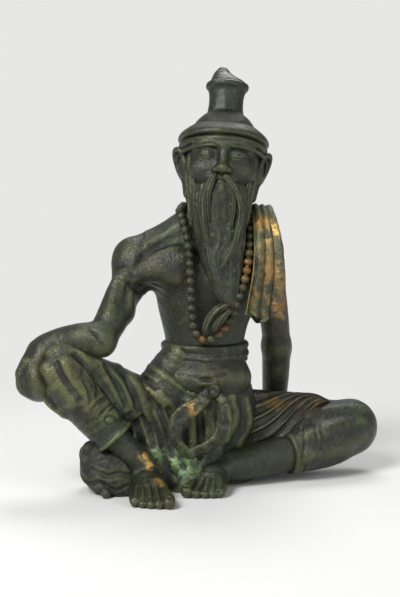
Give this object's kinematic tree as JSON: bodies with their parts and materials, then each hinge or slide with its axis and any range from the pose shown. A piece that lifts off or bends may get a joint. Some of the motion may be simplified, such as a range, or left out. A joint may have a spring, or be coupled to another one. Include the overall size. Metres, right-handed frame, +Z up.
{
  "type": "seated hermit figure",
  "caption": "Cast bronze okimono of a seated bearded hermit in a tall waisted hat, one knee raised, with prayer beads, a shoulder sash and wrapped trousers.",
  "frame": {"origin": "centre of the footprint, on the surface that the figure sits on", "axes": "+X to the figure's left (the right of a viewer in front), +Y to its back, +Z up"},
  "size_m": [0.2108, 0.1546, 0.2416],
  "materials": {
    "bronze_skin": "dark green-brown patina, satin",
    "bronze_cloth": "green patina rubbed yellow on the folds, satin",
    "bronze_hat": "near-black patina, satin",
    "bronze_hair": "green-grey patina, satin",
    "bronze_sash": "ochre patina rubbed to bare metal, satin",
    "bronze_beads": "dark patina, satin",
    "bronze_seat": "near-black patina, matt"
  },
  "bodies": {
    "root": {"hips": "bronze_cloth", "torso": "bronze_skin", "waist_belt": "bronze_cloth", "right_trouser_leg": "bronze_cloth", "left_trouser_leg": "bronze_cloth", "right_thigh": "bronze_cloth", "left_thigh": "bronze_cloth", "right_shin": "bronze_skin", "left_shin": "bronze_skin", "right_foot": "bronze_skin", "left_foot": "bronze_skin", "right_upper_arm": "bronze_skin", "left_upper_arm": "bronze_skin", "right_forearm": "bronze_skin", "left_forearm": "bronze_skin", "right_hand": "bronze_skin", "left_hand": "bronze_skin", "head": "bronze_skin", "face_features": "bronze_skin", "ears": "bronze_skin", "hat_band": "bronze_hat", "hat_crown": "bronze_hat", "hat_finial": "bronze_hat", "beard": "bronze_hair", "moustache": "bronze_hair", "side_locks": "bronze_hair", "nape_hair": "bronze_hair", "beard_tail": "bronze_hair", "sash_front": "bronze_sash", "sash_back": "bronze_sash", "prayer_beads": "bronze_beads", "apron": "bronze_cloth", "thigh_drape": "bronze_cloth", "wrap_edge": "bronze_cloth", "loin_loop": "bronze_cloth", "seat_lump": "bronze_seat"}
  },
  "joints": []
}
